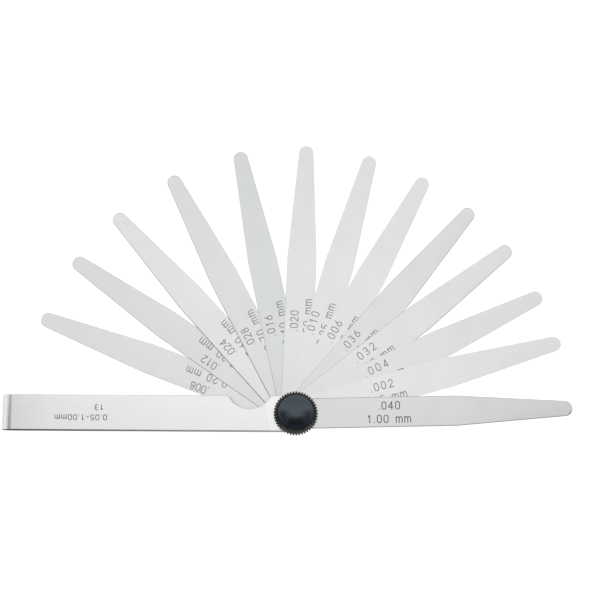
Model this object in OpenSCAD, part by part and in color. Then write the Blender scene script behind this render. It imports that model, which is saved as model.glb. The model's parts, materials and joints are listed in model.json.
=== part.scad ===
// Folding feeler gauge: thirteen tapered steel blades turn on one clamping screw between the two
// legs of a folded steel holder, and a ribbed plastic knob on the screw locks them.
// Origin: centre of the screw head's flat underside, on the pivot axis. +Z points up to the knob,
// the holder lies along -X and the blades are fanned out over +Y.

/* [Blades] */
// Blade thicknesses, from the top of the stack to the bottom
blade_t = [1.00, 0.05, 0.10, 0.80, 0.90, 0.15, 0.25, 0.50, 0.40, 0.70, 0.60, 0.30, 0.20]; // [0.02:0.01:1]
// Angle at which each blade is fanned out, anticlockwise from +X
blade_angle = [1.5, 15.5, 26, 38, 49.5, 61.5, 74, 88, 102.5, 118, 132.5, 145.5, 159.5]; // [0:0.5:160]
// Distance from the pivot to a blade's tip
blade_reach = 95; // [80:1:150]
// Width of a blade
blade_w = 10.3; // [9:0.1:12]
// Distance from the pivot to the start of the taper
taper_start = 55; // [30:1:70]
// Radius of a blade's rounded tip
tip_r = 2.6; // [1:0.1:4]
// Diameter of a blade's pivot hole
blade_hole_d = 5.1; // [5.06:0.02:5.2]

/* [Holder] */
// Width of the holder strip
holder_w = 12.2; // [12:0.1:16]
// Thickness of the holder strip
sheet_t = 1.0; // [0.8:0.1:1.5]
// Room between a folded blade's tip and the inside of the bend
tip_room = 4.6; // [4.5:0.1:12]
// Radius of the thumb notch in each leg
notch_r = 8.3; // [6:0.1:10]
// Distance from the pivot to the middle of the thumb notch
notch_x = 15.8; // [15:0.1:30]
// Depth of the thumb notch below the edge of the strip
notch_depth = 4.5; // [2:0.1:5]
// Diameter of the round screw hole in the upper leg
leg_hole_d = 5.2; // [5.1:0.1:5.6]

/* [Screw] */
// Diameter of the screw shank, and of its thread
shank_d = 5.0; // [4.9:0.02:5]
// Diameter of the screw head
head_d = 9.5; // [8:0.5:12]
// Height of the screw head
head_h = 1.6; // [1:0.1:2.5]
// Width of the flat underside of the head
head_flat_d = 8.3; // [5:0.1:8.4]
// Length of the screw from the inside of the lower leg to its end
shank_len = 15.1; // [14:0.1:15.6]
// Bevel on the end of the screw
end_bevel = 0.6; // [0.2:0.1:1]

/* [Washer] */
// Outer diameter of the washer
washer_d = 10; // [8:0.5:12]
// Hole of the washer
washer_hole_d = 5.3; // [5.2:0.1:5.8]
// Thickness of the washer
washer_t = 1.0; // [0.8:0.1:1.2]

/* [Knob] */
// Outer diameter of the knob at its base
knob_d = 15; // [14:0.5:20]
// Overall height of the knob
knob_h = 10.5; // [10:0.5:13]
// Diameter of the knob where its side meets the rounded shoulder
shoulder_d = 12.6; // [12:0.1:13.4]
// Radius of the rounded shoulder
shoulder_r = 1.0; // [0.8:0.1:1.5]
// Rise of the domed crown above the shoulder
crown_h = 0.8; // [0.4:0.1:1.2]
// Number of ribs round the knob
rib_count = 45; // [30:1:48]
// Depth of the grooves between the ribs
groove_depth = 0.6; // [0.2:0.05:0.6]
// Outer diameter of the brass insert
insert_d = 8; // [7.4:0.1:8.6]
// Length of the brass insert
insert_len = 6.4; // [5:0.1:6.4]
// Depth of the locking groove round the insert
lock_depth = 0.4; // [0.2:0.1:0.6]

/* [Fit] */
// Gap between neighbours in the stack
gap = 0.02; // [0.02:0.01:0.05]
// Play of the square neck in its hole, and of the shank in the insert, on the diameter
play = 0.1; // [0.06:0.02:0.2]

/* [Hidden] */
$fn = 96;
more = 1; // how far a cutting shape stands past the face that it cuts

function sum(v, from = 0) = from < len(v) ? v[from] + sum(v, from + 1) : 0;
function blade_name(i) =
    let (hundredths = round(blade_t[i] * 100), rest = hundredths % 100)
    str("blade_", floor(hundredths / 100), "_", rest < 10 ? "0" : "", rest);

blade_count = len(blade_t);
slot_h = sum(blade_t) + (blade_count + 1) * gap; // inner height between the legs
lower_leg_z = head_h;
slot_z = lower_leg_z + sheet_t;
upper_leg_z = slot_z + slot_h;
washer_z = upper_leg_z + sheet_t + gap;
knob_z = washer_z + washer_t + gap;
screw_end_z = slot_z + shank_len;
function blade_z(i) = slot_z + gap + sum([for (j = [i + 1 : 1 : blade_count - 1]) blade_t[j] + gap]);

bend_r = slot_h / 2 + sheet_t; // outer radius of the bend
holder_len = blade_reach + tip_room + sheet_t; // pivot to the outside of the bend
bend_x = holder_len - bend_r;

// The straight taper leans in by taper_tilt and all but touches the tip circle: it ends a hair
// inside the circle, so that the two outlines cross.
tip_bite = 0.005;
tip_x = blade_reach - tip_r;
touch_r = tip_r - tip_bite;
taper_run = norm([tip_x - taper_start, blade_w / 2]);
taper_tilt = atan2(blade_w / 2, tip_x - taper_start) - asin(touch_r / taper_run);
touch = [tip_x + touch_r * sin(taper_tilt), touch_r * cos(taper_tilt)];

shoulder_z = knob_h - crown_h - shoulder_r;
crown_r = shoulder_d / 2 - shoulder_r;
dome_r = (crown_r ^ 2 + crown_h ^ 2) / (2 * crown_h);
draft = atan2((knob_d - shoulder_d) / 2, shoulder_z); // lean of the knob's side
end_room = 0.8; // free height over the screw end inside the cap

// A strip folded once into a U: two equal legs joined by a half-round bend.
module folded_strip() {
    rotate([90, 0, 0])
        linear_extrude(holder_w, center = true)
            translate([0, slot_z + slot_h / 2])
                difference() {
                    union() {
                        translate([-bend_x, 0]) circle(bend_r);
                        translate([-bend_x, -bend_r]) square([bend_x + holder_w, 2 * bend_r]);
                    }
                    translate([-bend_x, 0]) circle(slot_h / 2);
                    translate([-bend_x, -slot_h / 2]) square([bend_x + holder_w + more, slot_h]);
                }
}

module holder() {
    color("gainsboro")
        difference() {
            intersection() {
                folded_strip();
                linear_extrude(washer_z + more) {
                    circle(d = holder_w);
                    translate([-holder_len - more, -holder_w / 2]) square([holder_len + more, holder_w]);
                }
            }
            translate([-notch_x, holder_w / 2 - notch_depth + notch_r, 0])
                cylinder(h = washer_z + more, r = notch_r);
            translate([0, 0, upper_leg_z - more]) cylinder(h = sheet_t + 2 * more, d = leg_hole_d);
            translate([0, 0, lower_leg_z + sheet_t / 2])
                cube([shank_d + 2 * play, shank_d + 2 * play, 2 * sheet_t], center = true);
        }
}

// Round at the pivot, parallel to the taper, then tapered to a round tip.
module blade_outline() {
    difference() {
        union() {
            circle(d = blade_w);
            translate([tip_x, 0]) circle(tip_r);
            polygon([
                [0, -blade_w / 2],
                [taper_start, -blade_w / 2],
                [touch.x, -touch.y],
                touch,
                [taper_start, blade_w / 2],
                [0, blade_w / 2],
            ]);
        }
        circle(d = blade_hole_d);
    }
}

module blade(i) {
    color("lightgray")
        translate([0, 0, blade_z(i)])
            rotate([0, 0, blade_angle[i]])
                linear_extrude(blade_t[i]) blade_outline();
}

// Flat round head, square neck that stops it turning in the lower leg, and a round shank.
module clamp_screw() {
    color("silver") {
        rotate_extrude()
            polygon([
                [0, 0],
                [head_flat_d / 2, 0],
                [head_d / 2, (head_d - head_flat_d) / 2],
                [head_d / 2, head_h],
                [0, head_h],
            ]);
        translate([0, 0, head_h + sheet_t / 2]) cube([shank_d, shank_d, sheet_t], center = true);
        translate([0, 0, head_h]) cylinder(h = screw_end_z - head_h - end_bevel, d = shank_d);
        translate([0, 0, screw_end_z - end_bevel])
            cylinder(h = end_bevel, d1 = shank_d, d2 = shank_d - 2 * end_bevel);
    }
}

module clamp_washer() {
    color("darkgray")
        translate([0, 0, washer_z])
            difference() {
                cylinder(h = washer_t, d = washer_d);
                translate([0, 0, -more]) cylinder(h = washer_t + 2 * more, d = washer_hole_d);
            }
}

// The insert's outside: two collars with a locking groove between them.
module insert_body() {
    collar = insert_len / 3;
    translate([0, 0, knob_z]) {
        cylinder(h = insert_len, d = insert_d - 2 * lock_depth);
        cylinder(h = collar, d = insert_d);
        translate([0, 0, insert_len - collar]) cylinder(h = collar, d = insert_d);
    }
}

module knob_insert() {
    color("goldenrod")
        difference() {
            insert_body();
            translate([0, 0, knob_z - more]) cylinder(h = insert_len + 2 * more, d = shank_d + play);
        }
}

// Half section of the cap: leaning side, rounded shoulder and domed crown.
module cap_profile() {
    polygon([[0, 0], [knob_d / 2, 0], [shoulder_d / 2, shoulder_z], [0, shoulder_z]]);
    translate([crown_r, shoulder_z])
        intersection() {
            circle(shoulder_r);
            translate([-shoulder_r, 0]) square(2 * shoulder_r);
        }
    translate([0, shoulder_z]) square([crown_r, shoulder_r]);
    intersection() {
        translate([0, knob_h - dome_r]) circle(dome_r);
        translate([0, shoulder_z + shoulder_r]) square([crown_r, crown_h]);
    }
}

// One V groove, leaning with the side of the cap.
module rib_groove(turn) {
    half_w = groove_depth * 0.65;
    rotate([0, 0, turn])
        translate([knob_d / 2, 0, 0])
            rotate([0, -draft, 0])
                translate([0, 0, -more])
                    linear_extrude(shoulder_z + 2 * more)
                        polygon([[-groove_depth, 0], [groove_depth, -2 * half_w], [groove_depth, 2 * half_w]]);
}

module knob_cap() {
    color("#1b1d20")
        difference() {
            translate([0, 0, knob_z])
                difference() {
                    rotate_extrude() cap_profile();
                    for (rib = [0 : rib_count - 1]) rib_groove(rib * 360 / rib_count);
                }
            insert_body();
            translate([0, 0, knob_z]) cylinder(h = screw_end_z + end_room - knob_z, d = shank_d + 2 * play);
        }
}

holder();
for (i = [0 : blade_count - 1]) blade(i);
clamp_screw();
clamp_washer();
knob_cap();
knob_insert();
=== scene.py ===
"""Looks of the folding feeler gauge: steel blades, plated holder, ribbed knob, screw and marks.

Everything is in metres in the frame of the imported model: +Z up the pivot, holder along -X.
"""

import json
import math

import bpy
from mathutils import Matrix, Vector
from mathutils.geometry import delaunay_2d_cdt


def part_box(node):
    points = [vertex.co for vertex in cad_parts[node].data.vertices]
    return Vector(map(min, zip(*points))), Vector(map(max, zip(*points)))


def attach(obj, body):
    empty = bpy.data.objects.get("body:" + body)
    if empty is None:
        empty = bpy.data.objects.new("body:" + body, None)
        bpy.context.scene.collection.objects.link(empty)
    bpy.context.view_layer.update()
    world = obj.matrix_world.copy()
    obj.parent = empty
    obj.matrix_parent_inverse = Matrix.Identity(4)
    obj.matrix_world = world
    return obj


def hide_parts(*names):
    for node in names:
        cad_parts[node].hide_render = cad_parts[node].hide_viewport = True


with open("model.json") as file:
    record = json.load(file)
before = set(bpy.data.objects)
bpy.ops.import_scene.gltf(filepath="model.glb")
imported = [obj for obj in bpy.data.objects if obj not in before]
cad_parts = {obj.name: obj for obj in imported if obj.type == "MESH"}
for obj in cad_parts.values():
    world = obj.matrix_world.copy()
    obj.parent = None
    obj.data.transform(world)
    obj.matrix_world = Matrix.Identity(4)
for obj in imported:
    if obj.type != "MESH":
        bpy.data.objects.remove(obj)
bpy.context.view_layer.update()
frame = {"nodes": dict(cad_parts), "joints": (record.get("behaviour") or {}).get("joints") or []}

MM = 0.001
TURN = 2 * math.pi
ON_AXIS = 1e-9  # a radius below this is a point on the pivot's axis
UNSEEN = 0.002 * MM  # how far a mark is sunk into the face under it

# ---------------------------------------------------------------- sizes
# Boxes come from the frame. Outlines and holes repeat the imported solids; rounded edges, ribs and
# thread are this script's own.

BLADES = [name for name in frame["nodes"] if name.startswith("blade_")]
HOLDER_LOW, HOLDER_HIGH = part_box("holder")
KNOB_LOW, KNOB_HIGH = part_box("knob_cap")
SCREW_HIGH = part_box("clamp_screw")[1]
WASHER_LOW, WASHER_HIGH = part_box("clamp_washer")
INSERT_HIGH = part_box("knob_insert")[1]


def rest_angle(node):
    """The angle at which a blade lies at rest: it is half a turn short of its upper limit."""
    joint = next(j for j in frame["joints"] if j["child"] == node)
    return math.radians(180 - joint["range_deg"][1])


def blade_reach(node):
    return max(v.co.to_2d().length for v in frame["nodes"][node].data.vertices)


# Blade outline
BLADE_W = 10.3 * MM
TAPER_START = 55 * MM
TIP_R = 2.6 * MM
BLADE_HOLE_R = 2.55 * MM
BLADE_EDGE_R = 0.25 * MM
THIN_EDGE = 0.42  # the most that a thin blade's rounded edge takes of its thickness

# Holder strip
HOLDER_W = HOLDER_HIGH.y - HOLDER_LOW.y
SHEET_T = 1.0 * MM
SHEET_EDGE_R = 0.36 * MM
BEND_R = (HOLDER_HIGH.z - HOLDER_LOW.z) / 2
NOTCH_R = 8.3 * MM
NOTCH_X = 15.8 * MM
NOTCH_DEPTH = 4.5 * MM
LEG_HOLE_R = 2.6 * MM
# The crease near the pivot is not shaped; it is only painted, as a highlight on the plate past it.
CREASE_X = -9.83 * MM
CREASE_LEAN = 0.218
CREASE_HALF = 0.25 * MM  # half the width of the step in tone at the crease

# Screw
SHANK_R = 2.5 * MM
THREAD_PITCH = 0.8 * MM
THREAD_DEPTH = 0.45 * MM

# Knob
RIBS = 45
RIB_DEPTH = 0.55 * MM
KNOB_R = (KNOB_HIGH.x - KNOB_LOW.x) / 2
SHOULDER_R = 6.3 * MM
SHOULDER_ROUND = 1.0 * MM
CROWN_RISE = 0.8 * MM


# ---------------------------------------------------------------- mesh helpers


def mesh_object(name, verts, faces, smooth=True, closed=True):
    """A new mesh object; a closed one is turned so that its normals face out."""
    mesh = bpy.data.meshes.new(name)
    mesh.from_pydata([tuple(v) for v in verts], [], faces)
    mesh.polygons.foreach_set("use_smooth", [smooth] * len(mesh.polygons))
    if closed and sum(face.area * face.normal.dot(face.center) for face in mesh.polygons) < 0:
        mesh.flip_normals()
    obj = bpy.data.objects.new(name, mesh)
    bpy.context.scene.collection.objects.link(obj)
    return obj


def weight_normals(obj):
    """Keeps large flat faces flat beside the small rounded edges round them."""
    modifier = obj.modifiers.new("flat_faces", "WEIGHTED_NORMAL")
    modifier.mode = "FACE_AREA"
    modifier.weight = 50
    modifier.keep_sharp = True


def arc(centre, radius, start, end, steps):
    """Points along a circle from one angle to another, in radians, both ends included."""
    return [
        (
            centre[0] + radius * math.cos(start + (end - start) * k / steps),
            centre[1] + radius * math.sin(start + (end - start) * k / steps),
        )
        for k in range(steps + 1)
    ]


def line(start, end, steps):
    """Points from start towards end, without the end itself."""
    return [
        (start[0] + (end[0] - start[0]) * k / steps, start[1] + (end[1] - start[1]) * k / steps)
        for k in range(steps)
    ]


def inset(loop, distance):
    """A closed loop moved into the material, which lies to the left of its direction."""
    moved = []
    count = len(loop)
    for k in range(count):
        before = Vector(loop[k]) - Vector(loop[k - 1])
        after = Vector(loop[(k + 1) % count]) - Vector(loop[k])
        left = [Vector((-d.y, d.x)).normalized() for d in (before, after)]
        middle = (left[0] + left[1]).normalized()
        stretch = 1 / max(middle.dot(left[0]), 0.5)
        moved.append(tuple(Vector(loop[k]) + middle * distance * stretch))
    return moved


def inside(point, loop):
    """True if a 2D point is inside a closed loop."""
    x, y = point
    odd = False
    for k in range(len(loop)):
        (ax, ay), (bx, by) = loop[k - 1], loop[k]
        if (ay > y) != (by > y) and x < (bx - ax) * (y - ay) / (by - ay) + ax:
            odd = not odd
    return odd


def plate(name, loops, low, high, edge_r, place, ribs=(), edge_steps=3, cut_rings=1, low_slot=0):
    """A sheet cut to closed loops (outline anticlockwise, holes clockwise) with rounded edges.

    low and high are its two faces' heights, place(u, v, w) puts a point of the flat pattern in
    the frame, and ribs are pairs of outline points joined by a line across the sheet. The straight
    edge and cut_rings steps of its rounding on each side wear material slot 1, the low face
    wears low_slot, and the rest wears slot 0.
    """
    levels = []
    for k in range(edge_steps + 1):
        turn = math.pi / 2 * k / edge_steps
        levels.append((edge_r * (1 - math.sin(turn)), high - edge_r * (1 - math.cos(turn))))
    levels += [(margin, low + high - height) for margin, height in reversed(levels)]
    verts, faces, cut = [], [], []
    starts = []
    for loop in loops:
        starts.append(len(verts))
        for margin, height in levels:
            verts += [place(u, v, height) for u, v in inset(loop, margin)]
    for loop, start in zip(loops, starts):
        count = len(loop)
        for ring in range(len(levels) - 1):
            a, b = start + ring * count, start + (ring + 1) * count
            for k in range(count):
                n = (k + 1) % count
                faces.append((a + k, b + k, b + n, a + n))
                cut.append(int(abs(ring - edge_steps) <= cut_rings))

    flat = [p for loop in loops for p in inset(loop, edge_r)]
    edges, first = [], 0
    for loop in loops:
        edges += [(first + k, first + (k + 1) % len(loop)) for k in range(len(loop))]
        first += len(loop)
    edges += list(ribs)
    points, _, triangles, origin, _, _ = delaunay_2d_cdt([Vector(p) for p in flat], edges, [], 1, 1e-9)
    top, bottom = {}, {}
    first = 0
    for loop, start in zip(loops, starts):
        for k in range(len(loop)):
            top[first + k] = start + k
            bottom[first + k] = start + (len(levels) - 1) * len(loop) + k
        first += len(loop)
    holes = [inset(loop, edge_r) for loop in loops[1:]]
    for triangle in triangles:
        middle = sum((points[k] for k in triangle), Vector((0, 0))) / 3
        if any(inside(middle, hole) for hole in holes):
            continue
        names = [origin[k][0] for k in triangle]
        faces.append(tuple(top[n] for n in names))
        faces.append(tuple(bottom[n] for n in reversed(names)))
        cut += [0, low_slot]
    obj = mesh_object(name, verts, faces)
    obj.data.polygons.foreach_set("material_index", cut)
    weight_normals(obj)
    return obj


def revolve(name, profile, steps, radius=None):
    """Turns a profile of (r, z) points round the pivot; radius(r, z, angle) may shape each ring.

    The profile either starts and ends on the pivot's axis, or ends on its first point.
    """
    shape = radius or (lambda r, z, angle: r)
    hollow = profile[0] == profile[-1]
    verts, rings = [], []
    for r, z in profile[:-1] if hollow else profile:
        if r < ON_AXIS:
            rings.append([len(verts)])
            verts.append((0, 0, z))
            continue
        rings.append(list(range(len(verts), len(verts) + steps)))
        for k in range(steps):
            angle = TURN * k / steps
            reach = shape(r, z, angle)
            verts.append((reach * math.cos(angle), reach * math.sin(angle), z))
    if hollow:
        rings.append(rings[0])
    faces = []
    for low, high in zip(rings, rings[1:]):
        if len(low) == 1 and len(high) == 1:
            continue
        for k in range(steps):
            n = (k + 1) % steps
            if len(low) == 1:
                faces.append((low[0], high[n], high[k]))
            elif len(high) == 1:
                faces.append((low[k], low[n], high[0]))
            else:
                faces.append((low[k], low[n], high[n], high[k]))
    return mesh_object(name, verts, faces)


# ---------------------------------------------------------------- materials


class Surface:
    """A node material, with short ways to add the textures that all surfaces here share."""

    def __init__(self, name, color, metallic, roughness):
        self.material = bpy.data.materials.new(name)
        self.material.use_nodes = True
        self.nodes = self.material.node_tree.nodes
        self.links = self.material.node_tree.links
        self.shader = self.nodes["Principled BSDF"]
        self.shader.inputs["Base Color"].default_value = (*color, 1)
        self.shader.inputs["Metallic"].default_value = metallic
        self.shader.inputs["Roughness"].default_value = roughness
        self.bumps = None

    def place(self, turn=0.0, scale=(1, 1, 1)):
        """Coordinates fixed to the piece, turned about +Z and scaled."""
        coords = self.nodes.new("ShaderNodeTexCoord")
        turned = self.nodes.new("ShaderNodeMapping")
        turned.vector_type = "POINT"
        turned.inputs["Rotation"].default_value = (0, 0, -turn)
        scaled = self.nodes.new("ShaderNodeVectorMath")
        scaled.operation = "MULTIPLY"
        scaled.inputs[1].default_value = scale
        self.links.new(coords.outputs["Object"], turned.inputs["Vector"])
        self.links.new(turned.outputs["Vector"], scaled.inputs[0])
        return scaled.outputs["Vector"]

    def noise(self, vector, scale, detail=2.0, rough=0.5):
        node = self.nodes.new("ShaderNodeTexNoise")
        node.inputs["Scale"].default_value = scale
        node.inputs["Detail"].default_value = detail
        node.inputs["Roughness"].default_value = rough
        self.links.new(vector, node.inputs["Vector"])
        return node.outputs["Fac"]

    def remap(self, value, low, high, from_low=0.3, from_high=0.7):
        node = self.nodes.new("ShaderNodeMapRange")
        node.inputs["From Min"].default_value = from_low
        node.inputs["From Max"].default_value = from_high
        node.inputs["To Min"].default_value = low
        node.inputs["To Max"].default_value = high
        self.links.new(value, node.inputs["Value"])
        return node.outputs["Result"]

    def add(self, first, second):
        node = self.nodes.new("ShaderNodeMath")
        node.operation = "ADD"
        self.links.new(first, node.inputs[0])
        self.links.new(second, node.inputs[1])
        return node.outputs["Value"]

    def roughness(self, value):
        self.links.new(value, self.shader.inputs["Roughness"])

    def tint(self, value, dark, light):
        """Mixes two base colours by a 0 to 1 value."""
        node = self.nodes.new("ShaderNodeMix")
        node.data_type = "RGBA"
        node.inputs["A"].default_value = (*dark, 1)
        node.inputs["B"].default_value = (*light, 1)
        self.links.new(value, node.inputs["Factor"])
        self.links.new(node.outputs["Result"], self.shader.inputs["Base Color"])

    def bump(self, height, distance):
        node = self.nodes.new("ShaderNodeBump")
        node.inputs["Strength"].default_value = 1.0
        node.inputs["Distance"].default_value = distance
        self.links.new(height, node.inputs["Height"])
        if self.bumps:
            self.links.new(self.bumps, node.inputs["Normal"])
        self.bumps = node.outputs["Normal"]
        self.links.new(self.bumps, self.shader.inputs["Normal"])


def scaled(color, factor):
    return tuple(c * factor for c in color)


PLAIN_STEEL = (0.60, 0.605, 0.605)
BLUISH_STEEL = (0.59, 0.602, 0.606)  # one blade is a touch bluer than the rest
BLUISH_BLADE = "0_40"


def ground_steel(name, angle, tone):
    """Bright ground spring steel: fine grain along the blade and a few faint cloudy patches."""
    color = scaled(BLUISH_STEEL if name.endswith(BLUISH_BLADE) else PLAIN_STEEL, tone)
    steel = Surface(name, color, 1.0, 0.27)
    grain = steel.noise(steel.place(angle, (60, 2600, 2600)), 1.0, 3.0, 0.6)
    cloud = steel.noise(steel.place(angle, (1, 1, 1)), 60.0, 3.0, 0.55)
    steel.tint(steel.remap(cloud, 0, 1), scaled(color, 0.95), scaled(color, 1.03))
    steel.roughness(steel.add(steel.remap(grain, 0.0, 0.02), steel.remap(cloud, 0.225, 0.25)))
    steel.bump(grain, 0.15e-6)
    return steel.material


def plated_steel(name):
    """Satin nickel plate: soft roll lines along the strip under a smooth bright skin, a painted highlight
    past the crease towards the pivot, and painted shade towards the end of the bend.
    """
    color = (0.68, 0.68, 0.677)
    steel = Surface(name, color, 1.0, 0.24)
    roll = steel.noise(steel.place(0, (25, 1400, 1400)), 1.0, 3.0, 0.6)
    cloud = steel.noise(steel.place(0, (1, 2, 2)), 45.0, 2.0, 0.5)
    across = steel.nodes.new("ShaderNodeVectorMath")
    across.operation = "DOT_PRODUCT"
    across.inputs[1].default_value = (1, CREASE_LEAN, 0)
    steel.links.new(steel.place(), across.inputs[0])
    streak = steel.noise(steel.place(0, (8, 260, 260)), 1.0, 2.0, 0.5)
    # Painted highlight: the plate past the crease, towards the pivot, is made lighter, standing in for the
    # bent end of the sheet catching more light.
    crease = (CREASE_X - CREASE_HALF, CREASE_X + CREASE_HALF)
    crease_highlight = steel.remap(across.outputs["Value"], 0.0, 0.3, *crease)
    spot = steel.nodes.new("ShaderNodeSeparateXYZ")
    steel.links.new(steel.place(), spot.inputs["Vector"])
    # Painted shade: the plate darkens towards the end of the bend, standing in for the bend's dark
    # reflection band.
    far = steel.remap(spot.outputs["X"], 0, 0.55, -100 * MM, -84 * MM)
    uneven = steel.add(steel.remap(cloud, 0, 0.08), steel.remap(streak, 0, 0.14))
    shade = steel.add(steel.add(uneven, far), crease_highlight)
    steel.tint(shade, scaled(color, 0.86), scaled(color, 1.06))
    steel.roughness(steel.add(steel.remap(roll, 0.0, 0.02), steel.remap(cloud, 0.20, 0.23)))
    steel.bump(cloud, 4e-6)
    steel.bump(roll, 0.4e-6)
    return steel.material


def zinc_steel(name):
    """Bright zinc plate on turned parts."""
    color = (0.62, 0.63, 0.64)
    steel = Surface(name, color, 1.0, 0.3)
    cloud = steel.noise(steel.place(0), 400.0, 3.0)
    steel.tint(steel.remap(cloud, 0, 1), scaled(color, 0.86), scaled(color, 1.05))
    steel.roughness(steel.remap(cloud, 0.22, 0.4))
    return steel.material


def turned_brass(name):
    color = (0.78, 0.57, 0.26)
    brass = Surface(name, color, 1.0, 0.28)
    rings = brass.noise(brass.place(0, (300, 300, 4000)), 1.0, 2.0)
    brass.tint(brass.remap(rings, 0, 1), scaled(color, 0.85), scaled(color, 1.05))
    brass.roughness(brass.remap(rings, 0.2, 0.36))
    return brass.material


def gloss_plastic(name):
    """Glossy black moulding with faint flow marks."""
    color = (0.006, 0.007, 0.011)
    plastic = Surface(name, color, 0.0, 0.16)
    plastic.shader.inputs["IOR"].default_value = 1.72
    plastic.shader.inputs["Specular Tint"].default_value = (0.77, 0.92, 1.0, 1)
    flow = plastic.noise(plastic.place(0), 260.0, 3.0)
    fine = plastic.noise(plastic.place(0), 5200.0, 2.0)
    plastic.tint(plastic.remap(flow, 0, 1), scaled(color, 0.8), scaled(color, 1.3))
    plastic.roughness(plastic.remap(flow, 0.12, 0.22))
    plastic.bump(fine, 0.8e-6)
    return plastic.material


def dull_plastic(name):
    """The same moulding where fingers and dust have dulled it."""
    color = (0.004, 0.0045, 0.005)
    plastic = Surface(name, color, 0.0, 0.5)
    plastic.shader.inputs["Specular IOR Level"].default_value = 0.06
    dust = plastic.noise(plastic.place(0), 1800.0, 3.0)
    plastic.tint(plastic.remap(dust, 0, 1), scaled(color, 0.7), scaled(color, 1.6))
    plastic.roughness(plastic.remap(dust, 0.42, 0.6))
    plastic.bump(dust, 3e-6)
    return plastic.material


def etched_ink(name, color):
    """The dark oxide of a mark: matt, and a little patchy as real etching is."""
    ink = Surface(name, color, 0.35, 0.55)
    patch = ink.noise(ink.place(0), 2500.0, 2.0)
    ink.tint(ink.remap(patch, 0, 1), scaled(color, 0.75), scaled(color, 1.35))
    ink.roughness(ink.remap(patch, 0.45, 0.65))
    return ink.material


def sheared_steel(name, color):
    """The cut edge of a sheet: darker and rougher than its faces, with fine upright lines."""
    steel = Surface(name, color, 1.0, 0.4)
    torn = steel.noise(steel.place(0, (1, 1, 0.1)), 2600.0, 3.0)
    steel.tint(steel.remap(torn, 0, 1), scaled(color, 0.8), scaled(color, 1.2))
    steel.roughness(steel.remap(torn, 0.34, 0.46))
    steel.bump(torn, 3e-6)
    return steel.material


def painted_shade_edge(name):
    """The cut edge of the holder: dull and dark, with painted shade standing in for the shadowed slot
    between the legs, darkest at the bend and on the -Y side, lighter towards the pivot and on the +Y side.
    """
    edge = Surface(name, (0.1, 0.1, 0.1), 0.0, 0.6)
    edge.shader.inputs["Specular IOR Level"].default_value = 0.1
    spot = edge.nodes.new("ShaderNodeSeparateXYZ")
    edge.links.new(edge.place(), spot.inputs["Vector"])
    patch = edge.noise(edge.place(), 900.0, 3.0)
    # Painted shade: lighter towards the pivot and on the +Y side, darkest at the bend on the -Y side.
    less_shade = edge.add(
        edge.remap(spot.outputs["X"], 0, 0.8, -85 * MM, 0),
        edge.remap(spot.outputs["Y"], 0, 1, -1 * MM, 2 * MM),
    )
    edge.tint(edge.add(less_shade, edge.remap(patch, 0, 0.1)), (0.025, 0.025, 0.025), (0.8, 0.8, 0.8))
    edge.roughness(edge.remap(patch, 0.5, 0.7))
    return edge.material


def wear(obj, *materials):
    """Gives an object its materials, in the order of its slots."""
    slots = [face.material_index for face in obj.data.polygons]
    obj.data.materials.clear()
    for material in materials:
        obj.data.materials.append(material)
    if len(materials) > 1:
        obj.data.polygons.foreach_set("material_index", slots)


# ---------------------------------------------------------------- blades


def blade_outline(reach):
    """Anticlockwise outline of a blade that points along +X, from the start of its lower taper."""
    half = BLADE_W / 2
    tip_x = reach - TIP_R
    run = math.hypot(tip_x - TAPER_START, half)
    tilt = math.atan2(half, tip_x - TAPER_START) - math.asin(TIP_R / run)
    tip = arc((tip_x, 0), TIP_R, tilt - math.pi / 2, math.pi / 2 - tilt, 24)
    root = arc((0, 0), half, math.pi / 2, 3 * math.pi / 2, 36)
    return (
        line((TAPER_START, -half), tip[0], 6)
        + tip[:-1]
        + line(tip[-1], (TAPER_START, half), 6)
        + line((TAPER_START, half), root[0], 6)
        + root[:-1]
        + line(root[-1], (TAPER_START, -half), 6)
    )


def round_hole(centre, radius, steps=48):
    """A clockwise circle, as a hole of a plate."""
    return arc(centre, radius, 0, -TURN, steps)[:-1]


def make_blade(node, tone):
    low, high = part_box(node)
    turn = Matrix.Rotation(rest_angle(node), 3, "Z")
    edge = min(BLADE_EDGE_R, THIN_EDGE * (high.z - low.z))
    blade = plate(
        "steel_" + node,
        [blade_outline(blade_reach(node)), round_hole((0, 0), BLADE_HOLE_R)],
        low.z,
        high.z,
        edge,
        lambda u, v, w: turn @ Vector((u, v, w)),
        cut_rings=2 if node[6:] in PAINTED_SHADE_EDGES else 1,
    )
    cut = sheared_steel("cut_edge_" + node, (PAINTED_SHADE_EDGES.get(node[6:], BRIGHT_EDGE),) * 3)
    wear(blade, ground_steel("ground_steel_" + node, rest_angle(node), tone), cut)
    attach(blade, node)
    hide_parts(node)


# Brightness of each blade's faces.
TONES = {
    "1_00": 0.97,
    "0_05": 1.07,
    "0_10": 1.02,
    "0_80": 1.02,
    "0_90": 0.98,
    "0_15": 1.03,
    "0_25": 1.03,
    "0_50": 1.02,
    "0_40": 0.95,
    "0_70": 0.98,
    "0_60": 1.04,
    "0_30": 0.98,
    "0_20": 1.01,
}
# Brightness of the three cut edges that look dark, and of the rest.
# Painted shade: these three cut edges are coloured nearly black, over two rounding steps, standing in for
# the shadow lines along the blades' lower edges.
PAINTED_SHADE_EDGES = {"0_30": 0.05, "0_20": 0.08, "1_00": 0.30}
BRIGHT_EDGE = 0.95
for blade_node in BLADES:
    make_blade(blade_node, TONES[blade_node[6:]])


# ---------------------------------------------------------------- holder


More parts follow.
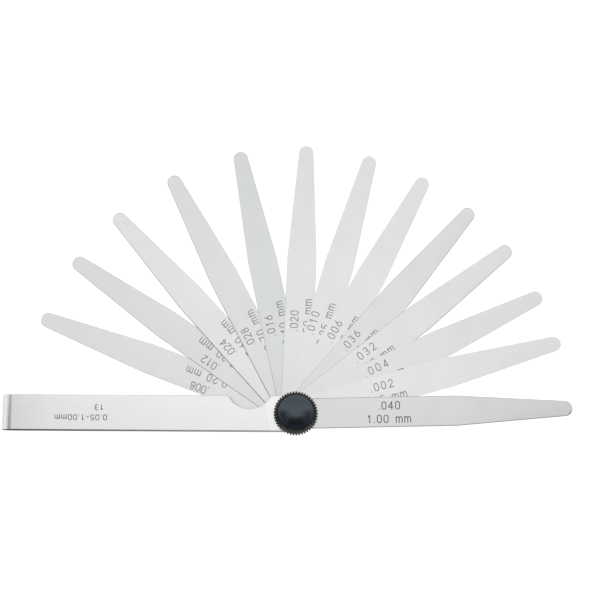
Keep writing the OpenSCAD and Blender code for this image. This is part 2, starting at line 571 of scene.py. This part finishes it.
def strip_place(u, v, w):
    """Folds the flat strip: u runs from the upper leg round the bend and back along the lower."""
    middle = BEND_R - SHEET_T / 2
    bend_x = -HOLDER_LOW.x - BEND_R
    bend_z = (HOLDER_LOW.z + HOLDER_HIGH.z) / 2
    over = (u - bend_x) / middle
    if over <= 0:
        return Vector((-u, v, bend_z + middle + w))
    if over >= math.pi:
        return Vector((-bend_x + u - bend_x - math.pi * middle, v, bend_z - middle - w))
    reach = middle + w
    return Vector((-bend_x - reach * math.sin(over), v, bend_z + reach * math.cos(over)))


def make_holder():
    half = HOLDER_W / 2
    bend_x = -HOLDER_LOW.x - BEND_R
    bend_len = math.pi * (BEND_R - SHEET_T / 2)
    far_x = 2 * bend_x + bend_len
    notch_y = half - NOTCH_DEPTH + NOTCH_R
    notch_half = math.sqrt(NOTCH_R**2 - (notch_y - half) ** 2)
    dip = math.acos(notch_half / NOTCH_R)
    steps = 32

    def notch(x):
        """The bite out of the upper edge, walked from +u to -u."""
        return arc((x, notch_y), NOTCH_R, -dip, dip - math.pi, 28)

    outline = arc((0, 0), half, math.pi / 2, 3 * math.pi / 2, 36)[:-1]
    outline += line((0, -half), (bend_x, -half), 12)
    lower_bend = len(outline)
    outline += line((bend_x, -half), (bend_x + bend_len, -half), steps)
    outline += line((bend_x + bend_len, -half), (far_x, -half), 12)
    outline += arc((far_x, 0), half, -math.pi / 2, math.pi / 2, 36)[:-1]
    far_notch, near_notch = notch(far_x - NOTCH_X), notch(NOTCH_X)
    outline += line((far_x, half), far_notch[0], 2) + far_notch[:-1]
    outline += line(far_notch[-1], (bend_x + bend_len, half), 12)
    upper_bend = len(outline)
    outline += line((bend_x + bend_len, half), (bend_x, half), steps)
    outline += line((bend_x, half), near_notch[0], 12)
    outline += near_notch[:-1] + line(near_notch[-1], (0, half), 2)
    ribs = [(lower_bend + k, upper_bend + steps - k) for k in range(steps + 1)]
    side = LEG_HOLE_R
    corner = 0.3 * MM
    square = []
    for k in range(4):
        turn = -k * math.pi / 2
        centre = Vector((far_x, 0)) + Matrix.Rotation(turn, 2) @ Vector((side - corner, side - corner))
        square += arc(centre, corner, math.pi / 2 + turn, turn, 4)
    holder = plate(
        "folded_holder",
        [outline, round_hole((0, 0), LEG_HOLE_R), square],
        -SHEET_T / 2,
        SHEET_T / 2,
        SHEET_EDGE_R,
        strip_place,
        ribs,
        cut_rings=2,
        low_slot=2,
    )
    wear(
        holder,
        plated_steel("plated_steel"),
        # The cut edge carries painted shade, darkest at the bend.
        painted_shade_edge("painted_shade_edge"),
        # Painted shade: the inner faces of the fold are coloured dark for the shade inside the slot.
        sheared_steel("shaded_inside", (0.22, 0.22, 0.22)),
    )
    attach(holder, "holder")
    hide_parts("holder")


make_holder()


# ---------------------------------------------------------------- screw, washer, insert


def rounded(points, radius, steps=3):
    """A profile of (r, z) corners with each inner corner rounded off."""
    path = [points[0]]
    for before, corner, after in zip(points, points[1:], points[2:]):
        a, c, b = Vector(before), Vector(corner), Vector(after)
        reach = min(radius, (a - c).length / 2.1, (b - c).length / 2.1)
        start, end = c + (a - c).normalized() * reach, c + (b - c).normalized() * reach
        for k in range(steps + 1):
            t = k / steps
            path.append(tuple(start * (1 - t) ** 2 + c * 2 * t * (1 - t) + end * t * t))
    return path + [points[-1]]


def thread_radius(r, z, angle, start, end):
    """Depth of a right-handed V thread at one point, faded out at both ends of its stretch."""
    phase = (z / THREAD_PITCH - angle / TURN) % 1
    valley = 1 - abs(2 * phase - 1)
    valley = min(max((valley - 0.12) / 0.7, 0), 1)
    runs_in = min(max((z - start) / THREAD_PITCH, 0), 1)
    runs_out = min(max((end - z) / (0.3 * THREAD_PITCH), 0), 1)
    fade = runs_in * runs_out
    return r - THREAD_DEPTH * valley * fade


def make_screw():
    top = SCREW_HIGH.z
    head_r = SCREW_HIGH.x
    neck_low, neck_high = HOLDER_LOW.z, HOLDER_LOW.z + SHEET_T
    thread_start = HOLDER_HIGH.z - 1.2 * MM
    bevel = 0.6 * MM
    head = revolve(
        "screw_head",
        rounded(
            [(0, 0), (head_r - 0.6 * MM, 0), (head_r, 0.6 * MM), (head_r, neck_low), (0, neck_low)],
            0.2 * MM,
        )[::-1],
        96,
    )
    rows = int((top - bevel - thread_start) / THREAD_PITCH * 12)
    profile = [(0, neck_low + 0.2 * MM), (SHANK_R, neck_low + 0.2 * MM), (SHANK_R, thread_start)]
    for k in range(1, rows + 1):
        profile.append((SHANK_R, thread_start + (top - bevel - thread_start) * k / rows))
    profile += [(SHANK_R - bevel, top), (0, top)]
    shank = revolve(
        "screw_shank", profile, 72, lambda r, z, a: thread_radius(r, z, a, thread_start, top - bevel)
    )
    corner = 0.25 * MM
    side = []
    for k in range(4):
        turn = k * math.pi / 2
        centre = Matrix.Rotation(turn, 2) @ Vector((SHANK_R - corner, SHANK_R - corner))
        side += arc(centre, corner, turn, turn + math.pi / 2, 4)
    neck = plate("screw_neck", [side], neck_low, neck_high, 0.05 * MM, lambda u, v, w: Vector((u, v, w)))
    for piece in (head, shank, neck):
        wear(piece, zinc_steel("zinc_" + piece.name))
        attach(piece, "holder")
    weight_normals(head)
    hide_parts("clamp_screw")


def make_washer():
    outer, hole = WASHER_HIGH.x, 2.65 * MM
    low, high = WASHER_LOW.z, WASHER_HIGH.z
    ring = [(hole, low), (outer, low), (outer, high), (hole, high), (hole, low)]
    profile = rounded(ring, 0.15 * MM)[1:-1]
    washer = revolve("flat_washer", [(hole, low)] + profile + [(hole, low)], 96)
    weight_normals(washer)
    wear(washer, zinc_steel("zinc_washer"))
    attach(washer, "washer")
    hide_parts("clamp_washer")


make_screw()
make_washer()
insert = frame["nodes"]["knob_insert"]
wear(insert, turned_brass("turned_brass"))


# ---------------------------------------------------------------- knob


def make_knob():
    base, top = KNOB_LOW.z, KNOB_HIGH.z
    shoulder_z = top - CROWN_RISE - SHOULDER_ROUND
    crown_r = SHOULDER_R - SHOULDER_ROUND
    dome_r = (crown_r**2 + CROWN_RISE**2) / (2 * CROWN_RISE)
    pocket_r = INSERT_HIGH.x
    bore_r = SHANK_R + 0.2 * MM
    bore_top = SCREW_HIGH.z + 0.8 * MM
    dome = [
        (r, top - dome_r + math.sqrt(dome_r**2 - r**2)) for r in (crown_r * k / 16 for k in range(17))
    ]
    shoulder = arc((crown_r, shoulder_z), SHOULDER_ROUND, math.pi / 2, 0, 10)
    lean = line((SHOULDER_R, shoulder_z), (KNOB_R, base + 0.25 * MM), 10)
    foot = arc((KNOB_R - 0.25 * MM, base + 0.25 * MM), 0.25 * MM, 0, -math.pi / 2, 4)
    pocket = [
        (pocket_r, base),
        (pocket_r, INSERT_HIGH.z),
        (bore_r, INSERT_HIGH.z),
        (bore_r, bore_top),
        (0, bore_top),
    ]
    fade_from, fade_to = shoulder_z - 0.3 * MM, shoulder_z + 0.5 * SHOULDER_ROUND

    def ribbed(r, z, angle):
        if r < crown_r - 1e-9 or (z < base + 1e-6 and r < KNOB_R - 0.3 * MM):
            return r
        valley = max(-math.cos(RIBS * angle), 0)
        share = min(max((fade_to - z) / (fade_to - fade_from), 0), 1)
        return r - RIB_DEPTH * valley**0.5 * share

    profile = (dome + shoulder[1:] + lean[1:] + foot + pocket)[::-1]
    knob = revolve("ribbed_knob", profile, RIBS * 12, ribbed)
    weight_normals(knob)
    wear(knob, gloss_plastic("gloss_plastic"), dull_plastic("dull_plastic"))
    for face in knob.data.polygons:
        face.material_index = int(face.center.z < shoulder_z + 0.85 * SHOULDER_ROUND)
    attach(knob, "knob")
    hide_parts("knob_cap")


make_knob()


# ---------------------------------------------------------------- marks

# Strokes of each sign in a box one unit high: straight runs of points, and arcs given as
# ("arc", centre x, centre y, x radius, y radius, first angle, last angle) in degrees.
SIGNS = {
    "0": (0.60, [[("arc", 0.3, 0.7, 0.3, 0.3, 0, 180), ("arc", 0.3, 0.3, 0.3, 0.3, 180, 360), (0.6, 0.7)]]),
    "1": (0.60, [[(0.14, 0.76), (0.36, 1.0), (0.36, 0.0)]]),
    "2": (0.60, [[("arc", 0.3, 0.71, 0.29, 0.29, 165, -38), (0.0, 0.0), (0.62, 0.0)]]),
    "3": (
        0.60,
        [
            [("arc", 0.28, 0.755, 0.25, 0.245, 150, -90), (0.22, 0.51)],
            [("arc", 0.28, 0.255, 0.29, 0.255, 90, -150)],
        ],
    ),
    "4": (0.64, [[(0.46, 0.0), (0.46, 1.0), (0.0, 0.28), (0.64, 0.28)]]),
    "5": (0.60, [[(0.54, 1.0), (0.1, 1.0), (0.05, 0.54), ("arc", 0.28, 0.31, 0.3, 0.31, 120, -145)]]),
    "6": (0.60, [[("arc", 0.3, 0.3, 0.3, 0.3, 0, 360)], [(0.45, 1.0), (0.04, 0.44)]]),
    "7": (0.60, [[(0.0, 1.0), (0.6, 1.0), (0.2, 0.0)]]),
    "8": (0.60, [[("arc", 0.3, 0.755, 0.24, 0.245, -90, 270)], [("arc", 0.3, 0.255, 0.3, 0.255, 90, 450)]]),
    "9": (0.60, [[("arc", 0.3, 0.7, 0.3, 0.3, 0, 360)], [(0.15, 0.0), (0.56, 0.56)]]),
    ".": (0.08, [[(0.04, 0.0), (0.04, 0.05)]]),
    "-": (0.40, [[(0.0, 0.42), (0.4, 0.42)]]),
    "m": (
        0.86,
        [
            [(0.0, 0.0), (0.0, 0.76)],
            [("arc", 0.215, 0.53, 0.215, 0.215, 180, 0), (0.43, 0.0)],
            [("arc", 0.645, 0.53, 0.215, 0.215, 180, 0), (0.86, 0.0)],
        ],
    ),
    " ": (0.40, []),
}
MARK_H = 2.6 * MM
MARK_LINE = 0.30 * MM
MARK_THICK = 0.006 * MM
MARK_WIDE = 0.9
INCH_PER_MM = 0.04
MM_PER_M = 1000
INCH_LINE = 2.2 * MM  # how far the two lines of a blade's mark lie from its middle
MM_LINE = 2.35 * MM
MM_LINE_PITCH = 2.32 * MM
FIGURE_WIDE = 0.6  # width of a figure in a box one unit high
# The marks lie a little differently on each blade: distance from the pivot to the first inch
# figure, pitch of the inch figures, distance to the end of the millimetre line, and shift across
# the blade, all in mm.
STAMPED = {
    "1_00": (29.6, 2.28, 39.3, 0.0),
    "0_05": (28.5, 2.55, 38.6, -0.6),
    "0_10": (29.1, 2.80, 40.2, 0.0),
    "0_80": (29.2, 2.70, 40.7, 0.0),
    "0_90": (29.2, 2.50, 40.1, 0.0),
    "0_15": (29.0, 2.52, 39.7, 0.0),
    "0_25": (29.5, 2.55, 40.3, 1.0),
    "0_50": (30.0, 2.22, 40.0, -0.4),
    "0_40": (29.4, 2.32, 39.6, 0.0),
    "0_70": (28.9, 2.14, 39.3, 0.0),
    "0_60": (30.6, 2.00, 40.9, -0.3),
    "0_30": (32.2, 2.08, 42.1, 0.2),
    "0_20": (32.2, 2.00, 40.9, 1.1),
}


def stroke_points(stroke):
    points = []
    for step in stroke:
        if step[0] != "arc":
            points.append(Vector(step))
            continue
        _, x, y, rx, ry, first, last = step
        count = max(3, round(abs(last - first) / 24))
        for k in range(count + 1):
            turn = math.radians(first + (last - first) * k / count)
            points.append(Vector((x + rx * math.cos(turn), y + ry * math.sin(turn))))
    return points


def capsule(start, end, radius):
    """A closed loop round a straight run, with round ends."""
    along = (end - start).normalized()
    lean = math.atan2(along.y, along.x)
    loop = arc(end, radius, lean - math.pi / 2, lean + math.pi / 2, 5)
    return loop + arc(start, radius, lean + math.pi / 2, lean + 3 * math.pi / 2, 5)


def write(text, height, wide, pitch):
    """Runs of a line of text from x = 0, with the length of the line; figures are a pitch apart."""
    gap = pitch - FIGURE_WIDE * height * wide
    runs, x = [], 0.0
    for sign in text:
        width, strokes = SIGNS[sign]
        for stroke in strokes:
            points = [Vector((x + p.x * height * wide, p.y * height)) for p in stroke_points(stroke)]
            runs += [pair for pair in zip(points, points[1:]) if (pair[1] - pair[0]).length > 1e-7]
        x += width * height * wide + gap
    return runs, x - gap


def moved(runs, x, y):
    return [(a + Vector((x, y)), b + Vector((x, y))) for a, b in runs]


def inked(name, runs, radius, place, low, high):
    """One closed plate that covers all the runs. It is triangulated in millimetres."""
    loops = [capsule(a, b, radius) for a, b in runs]
    points, faces = [], []
    for loop in loops:
        faces.append(tuple(range(len(points), len(points) + len(loop))))
        points += [Vector(p) * MM_PER_M for p in loop]
    flat, _, triangles, _, _, owners = delaunay_2d_cdt(points, [], faces, 0, 1e-5)
    kept = [t for t, owner in zip(triangles, owners) if owner]
    count = len(flat)
    rim = set()
    for a, b, c in kept:
        for edge in ((a, b), (b, c), (c, a)):
            if (edge[1], edge[0]) in rim:
                rim.remove((edge[1], edge[0]))
            else:
                rim.add(edge)
    verts = [place(p.x / MM_PER_M, p.y / MM_PER_M, high) for p in flat]
    verts += [place(p.x / MM_PER_M, p.y / MM_PER_M, low) for p in flat]
    sides = [tuple(t) for t in kept]
    sides += [(c + count, b + count, a + count) for a, b, c in kept]
    sides += [(b, a, a + count, b + count) for a, b in rim]
    used = sorted({v for side in sides for v in side})
    index = {v: k for k, v in enumerate(used)}
    renumbered = [tuple(index[v] for v in side) for side in sides]
    return mesh_object(name, [verts[v] for v in used], renumbered, smooth=False)


def mark_blade(node, ink):
    """The thickness in inches and in millimetres, read outward from the pivot."""
    low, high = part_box(node)
    mm = float(node[6:].replace("_", "."))
    inch = f"{mm * INCH_PER_MM:.3f}"[1:]
    turn = Matrix.Rotation(rest_angle(node), 3, "Z")
    first, pitch, end, across = (value * MM for value in STAMPED[node[6:]])
    inch_runs, _ = write(inch, MARK_H, MARK_WIDE, pitch)
    mm_runs, length = write(f"{mm:.2f} mm", MARK_H, MARK_WIDE, MM_LINE_PITCH)
    dot = SIGNS["."][0] * MARK_H * MARK_WIDE + pitch - FIGURE_WIDE * MARK_H * MARK_WIDE
    runs = moved(inch_runs, first - dot, across + INCH_LINE - MARK_H / 2)
    runs += moved(mm_runs, end - length, across - MM_LINE - MARK_H / 2)
    marks = inked(
        "marks_" + node,
        runs,
        MARK_LINE / 2,
        lambda u, v, w: turn @ Vector((u, v, w)),
        high.z - UNSEEN,
        high.z + MARK_THICK,
    )
    wear(marks, ink)
    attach(marks, node)


def mark_holder(ink):
    """The range of the set and the number of blades, read from the pivot with the holder turned."""
    height, wide, pitch = 1.75 * MM, 1.08, 1.78 * MM
    middle, line_y, indent = 73.1 * MM, 1.72 * MM, 1.2 * MM
    range_runs, length = write("0.05-1.00mm", height, wide, pitch)
    count_runs, _ = write("13", height, wide, pitch)
    start = middle - length / 2
    runs = moved(range_runs, start, line_y - height / 2)
    runs += moved(count_runs, start + indent, -line_y - height / 2)
    marks = inked(
        "marks_holder",
        runs,
        0.13 * MM,
        lambda u, v, w: Vector((-u, -v, w)),
        HOLDER_HIGH.z - UNSEEN,
        HOLDER_HIGH.z + MARK_THICK,
    )
    wear(marks, ink)
    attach(marks, "holder")


blade_ink = etched_ink("etched_blade_mark", (0.30, 0.30, 0.30))
heavy_ink = etched_ink("etched_heavy_mark", (0.08, 0.08, 0.08))
holder_ink = etched_ink("etched_holder_mark", (0.13, 0.13, 0.13))
for blade_node in BLADES:
    mark_blade(blade_node, heavy_ink if blade_node == "blade_1_00" else blade_ink)
mark_holder(holder_ink)


# ---------------------------------------------------------------- camera, floor, light

SKY_LEVEL = 3.0
# Ramps of (place, brightness). NEAR and FAR run from the middle plane (0) to either side (1), for
# the half of the sky at -Y and at +Y, and SWAP changes from one to the other. ALONG and SIDES run
# from -Y (0) to +Y (1), for the middle plane and for the sides, and CENTRE changes between them.
SKY_NEAR = [
    (0.0, 0.46),
    (0.14, 0.43),
    (0.30, 0.27),
    (0.44, 0.10),
    (0.72, 0.10),
    (0.82, 0.36),
    (0.97, 0.36),
    (0.995, 0.62),
]
SKY_FAR = [(0.0, 0.46), (0.60, 0.46), (0.85, 0.45)]
SKY_SWAP = [(0.50, 0.0), (0.60, 1.0)]
SKY_ALONG = [
    (0.0, 0.40),
    (0.24, 0.25),
    (0.30, 0.05),
    (0.39, 0.05),
    (0.47, 1.0),
    (0.55, 1.0),
    (0.70, 0.82),
    (1.0, 0.6),
]
SKY_SIDES = [(0.0, 0.4), (0.35, 0.6), (0.47, 1.0), (0.55, 1.0), (0.70, 0.82), (1.0, 0.6)]
SKY_CENTRE = [(0.22, 0.0), (0.42, 1.0)]


def make_camera():
    camera = bpy.data.cameras.new("camera")
    camera.sensor_width = 36
    camera.lens = 75
    stand = bpy.data.objects.new("camera", camera)
    bpy.context.scene.collection.objects.link(stand)
    forward = Vector((0.0102, 0.1379, -0.9904)).normalized()
    up = Vector((-0.0075, 0.9904, 0.1378))
    right = forward.cross(up).normalized()
    up = right.cross(forward)
    stand.matrix_world = Matrix.Translation((-3.15 * MM, -20.4 * MM, 437.3 * MM)) @ Matrix(
        (right, up, -forward)
    ).transposed().to_4x4()
    bpy.context.scene.camera = stand


def make_floor():
    size = 3.0
    floor = mesh_object(
        "floor",
        [(-size, -size, 0), (size, -size, 0), (size, size, 0), (-size, size, 0)],
        [(0, 1, 2, 3)],
        closed=False,
    )
    paper = Surface("white_table", (0.45, 0.45, 0.45), 0.0, 0.9)
    grain = paper.noise(paper.place(0), 400.0, 3.0)
    paper.tint(paper.remap(grain, 0, 1), (0.44, 0.44, 0.44), (0.46, 0.46, 0.46))
    paper.shader.inputs["Emission Color"].default_value = (1, 1, 1, 1)
    paper.shader.inputs["Emission Strength"].default_value = 0.85
    wear(floor, paper.material)


def make_light():
    """Soft studio light as one sky, made of ramps: see the lists that start with SKY_."""
    world = bpy.data.worlds.new("studio")
    world.use_nodes = True
    bpy.context.scene.world = world
    nodes, links = world.node_tree.nodes, world.node_tree.links

    def ramp(value, stops):
        node = nodes.new("ShaderNodeValToRGB")
        node.color_ramp.interpolation = "EASE"
        elements = node.color_ramp.elements
        while len(elements) < len(stops):
            elements.new(0.5)
        for element, (position, level) in zip(elements, stops):
            element.position = position
            element.color = (level, level, level, 1)
        links.new(value, node.inputs["Fac"])
        return node.outputs["Color"]

    def maths(operation, first, second=None):
        node = nodes.new("ShaderNodeMath")
        node.operation = operation
        links.new(first, node.inputs[0])
        if second is not None:
            node.inputs[1].default_value = second
        return node.outputs["Value"]

    coords = nodes.new("ShaderNodeTexCoord")
    split = nodes.new("ShaderNodeSeparateXYZ")
    links.new(coords.outputs["Generated"], split.inputs["Vector"])
    sideways = maths("ABSOLUTE", split.outputs["X"])
    backward = maths("MULTIPLY_ADD", split.outputs["Y"], 0.5)
    backward.node.inputs[2].default_value = 0.5
    across = nodes.new("ShaderNodeMix")
    across.data_type = "RGBA"
    links.new(ramp(backward, SKY_SWAP), across.inputs["Factor"])
    links.new(ramp(sideways, SKY_NEAR), across.inputs["A"])
    links.new(ramp(sideways, SKY_FAR), across.inputs["B"])
    product = nodes.new("ShaderNodeMix")
    product.data_type = "RGBA"
    product.blend_type = "MULTIPLY"
    product.inputs["Factor"].default_value = 1
    along = nodes.new("ShaderNodeMix")
    along.data_type = "RGBA"
    links.new(ramp(sideways, SKY_CENTRE), along.inputs["Factor"])
    links.new(ramp(backward, SKY_ALONG), along.inputs["A"])
    links.new(ramp(backward, SKY_SIDES), along.inputs["B"])
    links.new(across.outputs["Result"], product.inputs["A"])
    links.new(along.outputs["Result"], product.inputs["B"])
    links.new(product.outputs["Result"], nodes["Background"].inputs["Color"])
    nodes["Background"].inputs["Strength"].default_value = SKY_LEVEL


make_camera()
make_floor()
make_light()
bpy.context.scene.view_settings.view_transform = "Standard"
